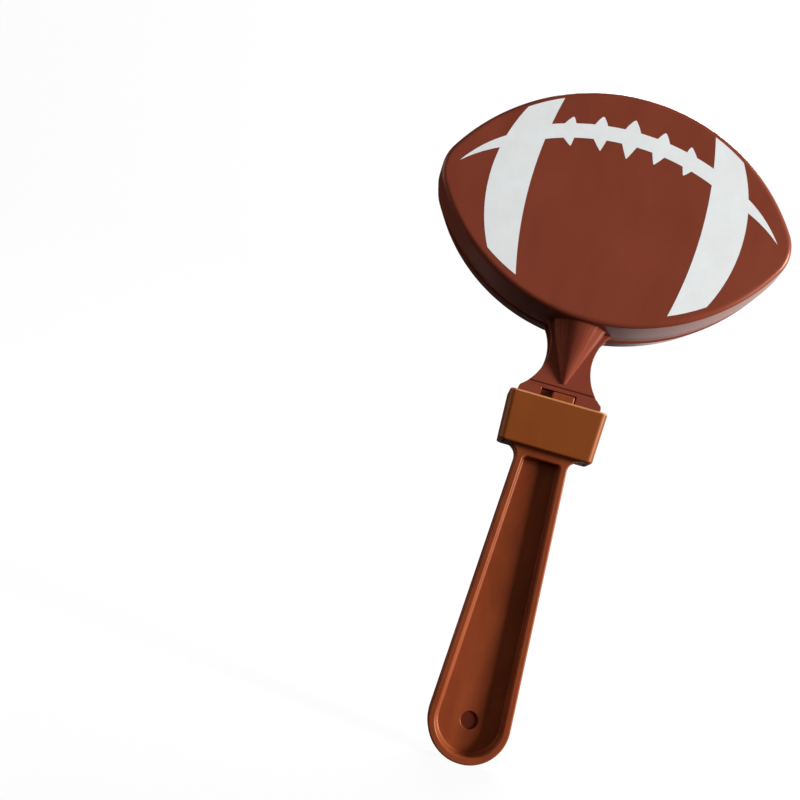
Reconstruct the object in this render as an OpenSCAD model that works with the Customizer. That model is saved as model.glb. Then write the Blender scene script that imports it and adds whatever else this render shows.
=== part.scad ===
// Football clapper: a moulded frame with a football ring, stem and grip, two dished clapper shells
// that swing on beads at the foot of their necks, and a sleeve that locks both necks to the frame.
// Millimetres. +Z runs up the handle to the football, X along the football, the front faces -Y.
// The origin is the middle of the grip.

/* [Football outline] */
// length of the football outline, tip to tip
ball_l = 121.6; // [90:0.1:160]
// height of the football outline
ball_h = 82.4; // [60:0.1:100]
// radius of the two rounded tips
tip_r = 14.7; // [8:0.1:20]
// height of the outline's centre above the sleeve's top edge
ball_rise = 66.4; // [58:0.1:90]

/* [Clapper shells] */
// depth of a shell from its rim to its flat face
shell_depth = 12.4; // [9:0.1:18]
// thickness of the shell's side wall
shell_wall = 1.4; // [1:0.1:2.5]
// thickness of the flat face
face_t = 1.5; // [1:0.1:2.5]
// radius of the edge between wall and face
face_edge_r = 1.8; // [0.6:0.1:3]
// how far the wall leans in between rim and face
wall_lean = 1.3; // [0.2:0.1:3]
// gap between the ring and a closed rim
rim_gap = 0.2; // [0.1:0.05:1]

/* [Neck and tab] */
// thickness of the flat neck plate
plate_t = 1.5; // [1:0.1:2.5]
// width of the neck at its narrowest
neck_w = 15; // [11:0.1:20]
// radius of the neck's hollow sides
neck_side_r = 17; // [12:0.1:24]
// height of the narrowest place above the sleeve
neck_rise = 15.5; // [13:0.1:22]
// width of the tab that enters the sleeve
tab_w = 28.6; // [22:0.1:29]
// radius of the half cone where it meets the shell
cone_r = 8.5; // [5:0.1:10]
// radius of the half cone at its lower end
cone_end_r = 0.7; // [0.3:0.1:2]
// height of the cone's lower end above the sleeve
cone_rise = 6; // [5:0.1:9]
// thickness of the cone's wall
cone_wall = 1.3; // [0.8:0.1:2]
// height of the groove across the tab above the sleeve
groove_rise = 4.2; // [3.6:0.1:4.6]
// width of the groove
groove_w = 0.9; // [0.3:0.1:1.2]
// depth of the groove
groove_depth = 0.6; // [0.2:0.1:0.7]

/* [Hinge] */
// diameter of the bead at the foot of the tab
bead_d = 2; // [1.6:0.1:2.4]
// depth of the bead's axis below the sleeve's top edge
bead_drop = 2.5; // [2.4:0.1:4]
// clearance round the bead in its seat
bead_gap = 0.08; // [0.05:0.01:0.1]
// width of the peg that passes through the tab
peg_w = 7.6; // [4:0.1:8]
// how far the peg sits to the right of the middle
peg_shift = 1.2; // [0:0.1:2]
// height of the peg's top above the sleeve
peg_rise = 2.7; // [1.5:0.1:2.8]
// how far the peg stands out past the tab
peg_out = 0.6; // [0.2:0.1:0.8]
// clearance in the tab's slot to the right of the peg
slot_near_gap = 0.4; // [0.3:0.1:2]
// clearance in the tab's slot to the left of the peg
slot_far_gap = 4; // [0.3:0.1:4.5]
// clearance above the peg in the tab's slot
slot_top_gap = 0.3; // [0.3:0.05:0.8]
// clearance below the peg in the tab's slot
slot_foot_gap = 0.35; // [0.3:0.05:0.8]
// height of the bar left between the bead and the slot
slot_bar = 0.4; // [0.2:0.1:1]

/* [Ring and stem] */
// thickness of the ring, front to back
ring_t = 8; // [5:0.1:12]
// width of the ring's band
ring_w = 3.6; // [2.5:0.1:6]
// how far the ridge round the ring stands out
ring_ridge = 0.8; // [0.2:0.1:1.5]
// width of the stem
stem_w = 13; // [10:0.1:14]
// width of the stem's two flanges
stem_flange = 2; // [1.2:0.1:3]
// thickness of the web between the stem's flanges
stem_web = 2.4; // [1.5:0.1:4]
// solid length of the stem between the slot and its pockets
stem_foot = 1.5; // [1:0.1:4]
// solid length of the stem between its pockets and the ring
stem_head = 1; // [0.5:0.1:3]
// radius of the fillets between stem and ring
stem_fillet_r = 4; // [2:0.1:6]

/* [Sleeve] */
// width of the sleeve at its top
sleeve_w = 33.6; // [33.2:0.1:42]
// depth of the sleeve at its top, front to back
sleeve_d = 17.1; // [16.9:0.1:20]
// height of the sleeve
sleeve_h = 17.6; // [14:0.1:26]
// wall thickness of the sleeve
sleeve_wall = 1.6; // [1.2:0.1:1.7]
// how much narrower the sleeve is at its foot
sleeve_taper_w = 1.5; // [0.4:0.1:2.4]
// how much shallower the sleeve is at its foot
sleeve_taper_d = 1; // [0.4:0.1:1.4]
// radius of the sleeve's four upright corners
sleeve_corner_r = 2.2; // [1.9:0.1:4]
// clearance between the sleeve and the block inside it
sleeve_gap = 0.15; // [0.05:0.01:0.3]

/* [Handle] */
// length of the handle below the sleeve
handle_l = 104.8; // [80:0.1:140]
// width of the handle just below the sleeve
handle_top_w = 17.4; // [13:0.1:20]
// width of the handle at its round end
handle_end_w = 27; // [20:0.1:28]
// thickness of the handle
handle_t = 10.2; // [7:0.1:11.2]
// width of the flange round the recess
flange_w = 2.6; // [1.5:0.1:4]
// thickness of the web in the middle
web_t = 2.2; // [1.8:0.1:4]
// radius of the hollow shoulders beside the handle
shoulder_r = 4.3; // [2:0.1:5]
// distance from the sleeve's foot down to the recess
recess_drop = 3.2; // [2:0.1:6]
// radius in the recess's upper corners
recess_corner_r = 1.2; // [0.6:0.1:2]
// diameter of the round dimple in the web
dimple_d = 5.8; // [3:0.1:8]
// depth of the dimple
dimple_depth = 0.7; // [0.2:0.1:0.7]
// height of the parting line that runs round the handle
seam_h = 0.15; // [0.05:0.05:0.3]
// width of the parting line
seam_w = 0.6; // [0.3:0.1:1]

/* [Hidden] */
$fn = 96;

// football outline: two large arcs and two tip arcs that meet smoothly
half_h = ball_h / 2;
tip_blend = 0.05;
tip_x = ball_l / 2 - tip_r - tip_blend;
big_r = (tip_x * tip_x + half_h * half_h - tip_r * tip_r) / (2 * (half_h - tip_r));
big_off = big_r - half_h;
join_len = sqrt(tip_x * tip_x + big_off * big_off);
join_x = tip_x / join_len;
join_y = big_off / join_len;
far = 2 * ball_l;

// heights, measured from the middle of the grip
sleeve_foot_z = handle_l / 2;
sleeve_top_z = sleeve_foot_z + sleeve_h;
ball_z = sleeve_top_z + ball_rise;
ball_foot_z = ball_z - half_h;
pivot_z = sleeve_top_z - bead_drop;

// depths
rim_y = ring_t / 2 + rim_gap;
pivot_y = rim_y + plate_t / 2;
stem_half = pivot_y - bead_d / 2 - bead_gap;

// peg and slot
peg_reach = pivot_y + plate_t / 2 + peg_out;
slot_x = peg_shift - peg_w / 2 - slot_far_gap;
slot_w = slot_far_gap + peg_w + slot_near_gap;
peg_top_z = sleeve_top_z + peg_rise;
slot_foot_z = pivot_z + bead_d / 2 + slot_bar;
peg_foot_z = slot_foot_z + slot_foot_gap;
slot_top_z = peg_top_z + slot_top_gap;

// half cone on the neck and the hollow inside it
cone_bite = 0.6;
hollow_run = 2;
hollow_inset = 0.3;

// handle sides, tangent to the round end
end_r = handle_end_w / 2;
end_z = -handle_l / 2 + end_r;
side_h = sleeve_foot_z - end_z;
side_a = asin(end_r / norm([side_h, handle_top_w / 2])) - atan2(handle_top_w / 2, side_h);
recess_depth = (handle_t - web_t) / 2;
recess_top_z = sleeve_foot_z - recess_drop;

// inside of the sleeve
bore_w = sleeve_w - 2 * sleeve_wall;
bore_d = sleeve_d - 2 * sleeve_wall;
bore_corner_r = sleeve_corner_r - sleeve_wall;
block_foot_d = bore_d - sleeve_taper_d - 2 * sleeve_gap;
shoulder_d_r = (block_foot_d - handle_t) / 2;

// profile of a disc whose wall leans in and rounds over to a flat top
module dish_profile(rad, h, lean, edge_r, under) {
    tilt = atan(lean / h);
    edge_x = rad - (h - edge_r) * tan(tilt) - edge_r / cos(tilt);
    wall_x = edge_x + edge_r * cos(tilt);
    wall_y = h - edge_r + edge_r * sin(tilt);
    polygon([[0, -under], [rad + under * tan(tilt), -under], [wall_x, wall_y], [edge_x, h], [0, h]]);
    if (edge_r > 0) {
        translate([edge_x, h - edge_r]) {
            circle(edge_r);
        }
    }
}

module dish_disc(rad, h, lean, edge_r, under) {
    rotate_extrude($fn = 180) {
        dish_profile(rad, h, lean, edge_r, under);
    }
}

// football-shaped dish standing on z = 0, its outline drawn in by inset: two large discs
// carried through each other, with both points rounded off by the tip radius
module dish(inset, h, lean, edge_r, under) {
    difference() {
        intersection() {
            translate([0, -big_off, 0]) {
                dish_disc(big_r - inset, h, lean, edge_r, under);
            }
            translate([0, big_off, 0]) {
                dish_disc(big_r - inset, h, lean, edge_r, under);
            }
        }
        for (turn = [0, 180]) {
            rotate([0, 0, turn]) {
                difference() {
                    translate([0, 0, -under - 1]) {
                        linear_extrude(h + under + 2) {
                            polygon([
                                [tip_x, 0],
                                [tip_x + far * join_x, -far * join_y],
                                [tip_x + far * join_x, far * join_y]
                            ]);
                        }
                    }
                    translate([tip_x, 0, 0]) {
                        rotate([0, 0, 180]) {
                            dish_disc(
                                tip_r - inset + tip_blend,
                                h + tip_blend,
                                lean * (h + tip_blend) / h,
                                edge_r > 0 ? edge_r + tip_blend : 0,
                                under + 2
                            );
                        }
                    }
                }
            }
        }
    }
}

// cone along the neck, its axis lying on the plate's outer face
module neck_cone(foot_y, head_y, foot_r, head_r) {
    translate([0, foot_y, plate_t]) {
        rotate([-90, 0, 0]) {
            cylinder(h = head_y - foot_y, r1 = foot_r, r2 = head_r);
        }
    }
}

// one shell with x along the football, y up the handle and z out from the rim
module shell() {
    cone_foot_y = sleeve_top_z + cone_rise;
    cone_head_y = ball_foot_z + shell_wall + cone_bite;
    cone_slope = (cone_r - cone_end_r) / (ball_foot_z - cone_foot_y);
    cone_head_r = cone_end_r + cone_slope * (cone_head_y - cone_foot_y);
    hollow_foot_y = cone_foot_y + (cone_wall + hollow_inset) / cone_slope;
    hollow_head_y = cone_head_y + hollow_run;
    hollow_foot_r = cone_end_r + hollow_inset;
    hollow_head_r = hollow_foot_r + cone_slope * (hollow_head_y - hollow_foot_y);
    difference() {
        union() {
            translate([0, ball_z, 0]) {
                dish(0, shell_depth, wall_lean, face_edge_r, 0);
            }
            linear_extrude(plate_t) {
                difference() {
                    translate([-tab_w / 2, pivot_z]) {
                        square([tab_w, ball_foot_z + half_h / 3 - pivot_z]);
                    }
                    for (side = [-1, 1]) {
                        translate([side * (neck_w / 2 + neck_side_r), sleeve_top_z + neck_rise]) {
                            circle(neck_side_r, $fn = 180);
                        }
                    }
                }
            }
            intersection() {
                neck_cone(cone_foot_y, cone_head_y, cone_end_r, cone_head_r);
                translate([-tab_w, cone_foot_y - 1, plate_t / 2]) {
                    cube([2 * tab_w, cone_head_y - cone_foot_y + 2, shell_depth]);
                }
            }
            translate([-tab_w / 2, pivot_z, plate_t / 2]) {
                rotate([0, 90, 0]) {
                    cylinder(h = tab_w, d = bead_d, $fn = 48);
                }
            }
        }
        translate([0, ball_z, 0]) {
            dish(
                shell_wall,
                shell_depth - face_t,
                wall_lean * (shell_depth - face_t) / shell_depth,
                face_edge_r - shell_wall / 2,
                1
            );
        }
        neck_cone(hollow_foot_y, hollow_head_y, hollow_foot_r, hollow_head_r);
        translate([slot_x, slot_foot_z, -1]) {
            cube([slot_w, slot_top_z - slot_foot_z, plate_t + 2]);
        }
        translate([-tab_w, sleeve_top_z + groove_rise - groove_w / 2, plate_t - groove_depth]) {
            cube([2 * tab_w, groove_w, groove_depth + 1]);
        }
    }
}

module front_shell() {
    color("#7a3a26") {
        translate([0, -rim_y, 0]) {
            rotate([90, 0, 0]) {
                shell();
            }
        }
    }
}

module rear_shell() {
    color("#7a3a26") {
        rotate([0, 0, 180]) {
            translate([0, -rim_y, 0]) {
                rotate([90, 0, 0]) {
                    shell();
                }
            }
        }
    }
}

// box that tapers from top to foot, its upright corners rounded along the slope
module tapered_box(top_w, top_d, foot_w, foot_d, h, corner_r) {
    grow_w = (top_w - foot_w) / 2;
    grow_d = (top_d - foot_d) / 2;
    tilt_x = atan(grow_w / h);
    tilt_y = asin(grow_d / norm([grow_w, grow_d, h]));
    difference() {
        intersection() {
            translate([0, top_d, 0]) {
                rotate([90, 0, 0]) {
                    linear_extrude(2 * top_d) {
                        polygon([[-foot_w / 2, 0], [foot_w / 2, 0], [top_w / 2, h], [-top_w / 2, h]]);
                    }
                }
            }
            translate([-top_w, 0, 0]) {
                rotate([90, 0, 90]) {
                    linear_extrude(2 * top_w) {
                        polygon([[-foot_d / 2, 0], [foot_d / 2, 0], [top_d / 2, h], [-top_d / 2, h]]);
                    }
                }
            }
        }
        for (sx = [-1, 1]) {
            for (sy = [-1, 1]) {
                translate([sx * (foot_w / 2 - corner_r), sy * (foot_d / 2 - corner_r), 0]) {
                    rotate([-sy * tilt_y, sx * tilt_x, 0]) {
                        difference() {
                            translate([sx > 0 ? 0 : -2 * corner_r, sy > 0 ? 0 : -2 * corner_r, -2]) {
                                cube([2 * corner_r, 2 * corner_r, h + 4]);
                            }
                            translate([0, 0, -3]) {
                                cylinder(h = h + 6, r = corner_r, $fn = 48);
                            }
                        }
                    }
                }
            }
        }
    }
}

module sleeve() {
    rate_w = sleeve_taper_w / sleeve_h;
    rate_d = sleeve_taper_d / sleeve_h;
    color("#7a3e1e") {
        difference() {
            translate([0, 0, sleeve_foot_z]) {
                tapered_box(
                    sleeve_w,
                    sleeve_d,
                    sleeve_w - sleeve_taper_w,
                    sleeve_d - sleeve_taper_d,
                    sleeve_h,
                    sleeve_corner_r
                );
            }
            translate([0, 0, sleeve_foot_z - 1]) {
                tapered_box(
                    bore_w + rate_w,
                    bore_d + rate_d,
                    bore_w - sleeve_taper_w - rate_w,
                    bore_d - sleeve_taper_d - rate_d,
                    sleeve_h + 2,
                    bore_corner_r
                );
            }
        }
    }
}

// outline of the handle seen from the front, drawn in by inset
module handle_outline(inset, top_z) {
    r = end_r - inset;
    top_x = r / cos(side_a) - (top_z - end_z) * tan(side_a);
    foot_x = r * cos(side_a);
    foot_y = end_z + r * sin(side_a);
    polygon([[-foot_x, foot_y], [foot_x, foot_y], [top_x, top_z], [-top_x, top_z]]);
    translate([0, end_z]) {
        circle(r);
    }
}

// hollow corner piece beside an upright edge at x = 0, below the line y = 0
module hollow_corner(r) {
    difference() {
        translate([-1, -r]) {
            square([r + 1, r]);
        }
        translate([r, -r]) {
            circle(r, $fn = 64);
        }
    }
}

// handle with its shoulders: the front outline and the side outline carried through each other
module handle_body() {
    intersection() {
        translate([0, sleeve_d, 0]) {
            rotate([90, 0, 0]) {
                linear_extrude(2 * sleeve_d) {
                    handle_outline(0, sleeve_foot_z);
                    for (side = [0, 1]) {
                        mirror([side, 0]) {
                            translate([handle_top_w / 2, sleeve_foot_z]) {
                                hollow_corner(shoulder_r);
                            }
                        }
                    }
                }
            }
        }
        translate([-sleeve_w, 0, 0]) {
            rotate([90, 0, 90]) {
                linear_extrude(2 * sleeve_w) {
                    translate([-handle_t / 2, -handle_l]) {
                        square([handle_t, handle_l + sleeve_foot_z]);
                    }
                    for (side = [0, 1]) {
                        mirror([side, 0]) {
                            translate([handle_t / 2, sleeve_foot_z]) {
                                hollow_corner(shoulder_d_r);
                            }
                        }
                    }
                }
            }
        }
    }
}

// recess in one face of the handle, with the dimple in its floor
module recess() {
    translate([0, -web_t / 2, 0]) {
        rotate([90, 0, 0]) {
            linear_extrude(recess_depth + sleeve_d) {
                difference() {
                    handle_outline(flange_w, recess_top_z);
                    for (side = [0, 1]) {
                        mirror([side, 0]) {
                            recess_corner();
                        }
                    }
                }
            }
        }
    }
    translate([0, -web_t / 2 + dimple_depth, end_z]) {
        rotate([90, 0, 0]) {
            cylinder(h = recess_depth, d = dimple_d, $fn = 48);
        }
    }
}

// piece left standing in an upper corner of the recess
module recess_corner() {
    top_x = (end_r - flange_w) / cos(side_a) - side_h * tan(side_a) + recess_drop * tan(side_a);
    difference() {
        translate([top_x - recess_corner_r, recess_top_z - recess_corner_r]) {
            square([2 * recess_corner_r, 2 * recess_corner_r]);
        }
        translate([top_x - recess_corner_r, recess_top_z - recess_corner_r]) {
            circle(recess_corner_r, $fn = 48);
        }
    }
}

// stem: a bar with a pocket in both faces, and fillets up to the ring
module stem() {
    pocket_foot_z = slot_top_z + stem_foot;
    pocket_top_z = ball_foot_z - stem_head;
    difference() {
        translate([-stem_w / 2, -stem_half, pivot_z - 1]) {
            cube([stem_w, 2 * stem_half, ball_foot_z + ring_w / 2 - pivot_z + 1]);
        }
        for (side = [0, 1]) {
            mirror([0, side, 0]) {
                translate([stem_flange - stem_w / 2, stem_web / 2, pocket_foot_z]) {
                    cube([stem_w - 2 * stem_flange, stem_half, pocket_top_z - pocket_foot_z]);
                }
            }
        }
    }
    fillet_y = sqrt(big_r * big_r - pow(stem_w / 2 + stem_fillet_r, 2)) - big_off;
    difference() {
        translate([0, ring_t / 2 - ring_ridge, ball_z]) {
            rotate([90, 0, 0]) {
                linear_extrude(ring_t - 2 * ring_ridge) {
                    difference() {
                        translate([-stem_w / 2 - stem_fillet_r, -half_h - stem_fillet_r]) {
                            square([stem_w + 2 * stem_fillet_r, stem_fillet_r + half_h - fillet_y + ring_w / 2]);
                        }
                        for (side = [-1, 1]) {
                            translate([side * (stem_w / 2 + stem_fillet_r), -fillet_y - stem_fillet_r]) {
                                circle(stem_fillet_r, $fn = 64);
                            }
                        }
                        translate([0, big_off]) {
                            circle(big_r - ring_w / 2, $fn = 180);
                        }
                    }
                }
            }
        }
        translate([-ball_l, -ring_t, ball_z - half_h - 2 * stem_fillet_r]) {
            cube([2 * ball_l, 2 * ring_t, stem_fillet_r + half_h - fillet_y]);
        }
        for (side = [0, 1]) {
            mirror([0, side, 0]) {
                translate([stem_flange - stem_w / 2, stem_web / 2, pocket_foot_z]) {
                    cube([stem_w - 2 * stem_flange, stem_half, pocket_top_z - pocket_foot_z]);
                }
            }
        }
    }
}

// football ring, its outer edge coming to a ridge half way through
module ring() {
    translate([0, 0, ball_z]) {
        difference() {
            for (side = [0, 1]) {
                mirror([0, side, 0]) {
                    rotate([90, 0, 0]) {
                        dish(0, ring_t / 2, ring_ridge, 0, 0);
                    }
                }
            }
            translate([0, ring_t, 0]) {
                rotate([90, 0, 0]) {
                    dish(ring_w, 2 * ring_t, 0, 0, 0);
                }
            }
        }
    }
}

module frame() {
    color("#6e3222") {
        difference() {
            union() {
                handle_body();
                translate([0, seam_w / 2, 0]) {
                    rotate([90, 0, 0]) {
                        linear_extrude(seam_w) {
                            handle_outline(-seam_h, recess_top_z);
                        }
                    }
                }
                translate([0, 0, sleeve_foot_z]) {
                    block_h = pivot_z - sleeve_foot_z;
                    rate_w = sleeve_taper_w / sleeve_h;
                    rate_d = sleeve_taper_d / sleeve_h;
                    tapered_box(
                        bore_w - 2 * sleeve_gap - rate_w * bead_drop,
                        bore_d - 2 * sleeve_gap - rate_d * bead_drop,
                        bore_w - 2 * sleeve_gap - sleeve_taper_w,
                        block_foot_d,
                        block_h,
                        bore_corner_r
                    );
                }
                stem();
                ring();
                for (turn = [0, 180]) {
                    rotate([0, 0, turn]) {
                        translate([peg_shift - peg_w / 2, -peg_reach, peg_foot_z]) {
                            cube([peg_w, peg_reach - stem_half / 2, peg_top_z - peg_foot_z]);
                        }
                    }
                }
            }
            for (side = [0, 1]) {
                mirror([0, side, 0]) {
                    recess();
                    translate([-tab_w / 2 - bead_gap, -pivot_y, pivot_z]) {
                        rotate([0, 90, 0]) {
                            cylinder(h = tab_w + 2 * bead_gap, r = bead_d / 2 + bead_gap, $fn = 48);
                        }
                    }
                }
            }
        }
    }
}

frame();
front_shell();
rear_shell();
sleeve();
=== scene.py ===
"""Looks of the football clapper: four brown polypropylene mouldings and the white print on the front face.

Solids are modelled in millimetres with X along the football, Y up the handle and Z out of the front, which is
the way a mould maker would draw them, and are turned into the part's frame (metres, +Z up the handle, front
towards -Y) when they are finished.
"""

import logging
import math
from collections.abc import Sequence
from dataclasses import dataclass
from enum import Enum

import bmesh
import bpy
from bmesh.types import BMEdge, BMesh, BMFace, BMVert
from bpy.types import Material, Node, NodeSocket, NodeTree, Object
from mathutils import Matrix, Vector


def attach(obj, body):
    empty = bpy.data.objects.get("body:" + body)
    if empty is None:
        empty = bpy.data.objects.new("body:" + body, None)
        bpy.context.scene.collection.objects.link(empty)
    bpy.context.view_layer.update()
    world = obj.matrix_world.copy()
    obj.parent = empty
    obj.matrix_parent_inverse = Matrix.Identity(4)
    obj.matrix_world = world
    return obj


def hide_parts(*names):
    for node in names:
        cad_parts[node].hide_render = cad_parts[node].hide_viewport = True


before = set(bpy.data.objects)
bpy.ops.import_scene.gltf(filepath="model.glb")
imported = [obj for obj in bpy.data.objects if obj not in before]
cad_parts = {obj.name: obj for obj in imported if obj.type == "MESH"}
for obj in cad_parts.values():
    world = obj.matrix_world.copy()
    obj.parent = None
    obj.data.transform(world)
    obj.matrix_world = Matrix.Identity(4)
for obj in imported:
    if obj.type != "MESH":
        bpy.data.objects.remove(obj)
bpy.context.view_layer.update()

LOG = logging.getLogger("clapper")
MM = 0.001
# Millimetres: points nearer than MERGE are one, and cutters run PAST or REACH beyond what they cut.
MERGE = 0.0005
PAST = 1.0
REACH = 9.0
# Broken edges: their width, the room that a face beside one needs, and the least angle that is broken.
BROKEN_EDGE = 0.22
EDGE_ROOM = 2.5 * BROKEN_EDGE
SHARP_ANGLE = math.radians(35)
MANY_SIDES = 7
# Heights between which the sleeve hides the edges, so that they stay sharp.
HIDDEN_LOW = 52.35
HIDDEN_HIGH = 69.0
# A face looks along an axis if its normal has more than this share of it.
SQUARE_ON = 0.9
PICTURE_SIDE = 800
SENSOR_MM = 36.0

Step = tuple[float, float]
Point = tuple[float, float, float]
Sockets = dict[str | int, object]


class Operation(Enum):
    """Ways of carrying one solid through another."""

    JOIN = "UNION"
    CUT = "DIFFERENCE"
    COMMON = "INTERSECT"


class Side(Enum):
    """The two sides of the clapper, by their angle about the handle's axis."""

    FRONT = 0.0
    REAR = math.pi


def linear(code: str) -> tuple[float, float, float, float]:
    """Turn an sRGB hex colour into linear light.

    Args:
        code: colour as six hex digits after a hash.

    Returns:
        Red, green, blue and an alpha of one.
    """
    channels = [int(code[place : place + 2], 16) / 255 for place in (1, 3, 5)]
    light = [c / 12.92 if c <= 0.04045 else ((c + 0.055) / 1.055) ** 2.4 for c in channels]
    return (light[0], light[1], light[2], 1.0)


def per_mm(size: float) -> float:
    """Give a pattern's scale from the real size of its features in millimetres."""
    return 1 / (size * MM)


def add_node(tree: NodeTree, kind: str, sockets: Sockets | None = None, **settings: object) -> Node:
    """Add a node with its settings and links.

    Args:
        tree: tree that takes the node.
        kind: the node's type name without its common start.
        sockets: values of input sockets by name or place; a node or a socket as the value makes a link.
        settings: properties of the node.

    Returns:
        The new node.
    """
    node = tree.nodes.new(f"ShaderNode{kind}")
    for name, value in settings.items():
        setattr(node, name, value)
    for key, value in (sockets or {}).items():
        source = value.outputs[0] if isinstance(value, Node) else value
        if isinstance(source, NodeSocket):
            tree.links.new(source, node.inputs[key])
        else:
            node.inputs[key].default_value = source
    return node


def looked_at(tree: NodeTree) -> Node:
    """Tell what is looked at, straight or in a reflection or through glass, from what only gives light.

    Args:
        tree: tree that takes the nodes.

    Returns:
        A node whose value is one for what is looked at.
    """
    path = add_node(tree, "LightPath").outputs
    rays = {0: path["Is Glossy Ray"], 1: path["Is Transmission Ray"]}
    bent = add_node(tree, "Math", rays, operation="MAXIMUM")
    return add_node(tree, "Math", {0: path["Is Camera Ray"], 1: bent}, operation="MAXIMUM")


@dataclass(frozen=True)
class Finish:
    """Plain matt finish; the others lay nodes of their own."""

    name: str
    colour: str

    def lay(self, tree: NodeTree) -> Node:
        """Lay the finish's nodes in a tree and give the one that makes the surface."""
        return add_node(tree, "BsdfDiffuse", {"Color": linear(self.colour)})

    def build(self) -> Material:
        """Make the material.

        Returns:
            A material with the finish's nodes.
        """
        material = bpy.data.materials.new(self.name)
        material.use_nodes = True
        material.node_tree.nodes.clear()
        add_node(material.node_tree, "OutputMaterial", {"Surface": self.lay(material.node_tree)})
        return material


@dataclass(frozen=True)
class MouldedPlastic(Finish):
    """Brown polypropylene as it leaves a polished steel mould."""

    deep: str
    roughness: float
    glint: str = "#FFBE8E"
    flow_mm: float = 16.0
    ripple_mm: float = 9.0
    ripple_depth: float = 0.02
    peel_mm: float = 0.7
    peel_depth: float = 0.0025
    scuff_mm: float = 0.9

    def lay(self, tree: NodeTree) -> Node:
        """Lay the plastic's nodes.

        Args:
            tree: tree that takes the nodes.

        Returns:
            The node that makes the surface.
        """
        place = add_node(tree, "TexCoord").outputs["Object"]
        # The melt runs up the handle and drags its pigment along, so the brown is drawn out into soft clouds.
        drawn = add_node(tree, "Mapping", {"Vector": place, "Scale": (1.0, 1.0, 0.45)})
        clouds = {"Scale": per_mm(self.flow_mm), "Detail": 4.0, "Roughness": 0.55, "Distortion": 0.5}
        flow = add_node(tree, "TexNoise", {"Vector": drawn, **clouds})
        tone = add_node(tree, "MapRange", {"Value": flow, "From Min": 0.3, "From Max": 0.7})
        browns = {6: linear(self.deep), 7: linear(self.colour)}
        pigment = add_node(tree, "Mix", {0: tone, **browns}, data_type="RGBA")
        # Shrinkage behind a thin wall leaves shallow ripples that bend the reflections.
        sink = add_node(tree, "TexNoise", {"Vector": place, "Scale": per_mm(self.ripple_mm), "Detail": 1.0})
        ripple = add_node(tree, "Bump", {"Strength": 1.0, "Distance": self.ripple_depth * MM, "Height": sink})
        # The steel's polish and the cooling skin leave a fine orange peel.
        peel = add_node(tree, "TexNoise", {"Vector": place, "Scale": per_mm(self.peel_mm), "Detail": 2.0})
        depth = {"Strength": 1.0, "Distance": self.peel_depth * MM}
        skin = add_node(tree, "Bump", {**depth, "Height": peel, "Normal": ripple})
        # Handling leaves short scuffs along the handle, seen as streaks of duller and clearer gloss.
        brushed = add_node(tree, "Mapping", {"Vector": place, "Scale": (1.0, 1.0, 0.2)})
        scuff = add_node(tree, "TexNoise", {"Vector": brushed, "Scale": per_mm(self.scuff_mm), "Detail": 3.0})
        spread = {"To Min": self.roughness - 0.015, "To Max": self.roughness + 0.03}
        gloss = add_node(tree, "MapRange", {"Value": scuff, "From Min": 0.35, "From Max": 0.7, **spread})
        # The plastic is a little clear at its skin, so its highlights are warm and only grazing ones white.
        shine = {"IOR": 1.49, "Specular IOR Level": 0.36, "Specular Tint": linear(self.glint)}
        surface = {"Base Color": pigment.outputs[2], "Roughness": gloss, **shine, "Normal": skin}
        return add_node(tree, "BsdfPrincipled", surface)


@dataclass(frozen=True)
class ScreenInk(Finish):
    """White ink pressed through a mesh: a matt film, thin enough to let a little of the brown through."""

    name: str = "screen ink"
    colour: str = "#E0E3E3"
    thin: str = "#DADCDB"
    patch_mm: float = 7.0
    mesh_mm: float = 0.35
    mesh_depth: float = 0.006

    def lay(self, tree: NodeTree) -> Node:
        """Lay the ink's nodes.

        Args:
            tree: tree that takes the nodes.

        Returns:
            The node that makes the surface.
        """
        place = add_node(tree, "TexCoord").outputs["Object"]
        # The squeegee lays the film a little thinner in places, and the brown greys it there.
        blots = {"Scale": per_mm(self.patch_mm), "Detail": 5.0, "Roughness": 0.6}
        patch = add_node(tree, "TexNoise", {"Vector": place, **blots})
        cover = add_node(tree, "MapRange", {"Value": patch, "From Min": 0.3, "From Max": 0.65})
        whites = {6: linear(self.thin), 7: linear(self.colour)}
        tint = add_node(tree, "Mix", {0: cover, **whites}, data_type="RGBA")
        # The mesh leaves a faint tooth that breaks up the gloss.
        tooth = add_node(tree, "TexNoise", {"Vector": place, "Scale": per_mm(self.mesh_mm), "Detail": 2.0})
        bump = add_node(tree, "Bump", {"Strength": 1.0, "Distance": self.mesh_depth * MM, "Height": tooth})
        gloss = add_node(tree, "MapRange", {"Value": tooth, "To Min": 0.48, "To Max": 0.62})
        surface = {"Base Color": tint.outputs[2], "Roughness": gloss, "IOR": 1.5, "Normal": bump}
        return add_node(tree, "BsdfPrincipled", surface)


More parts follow.
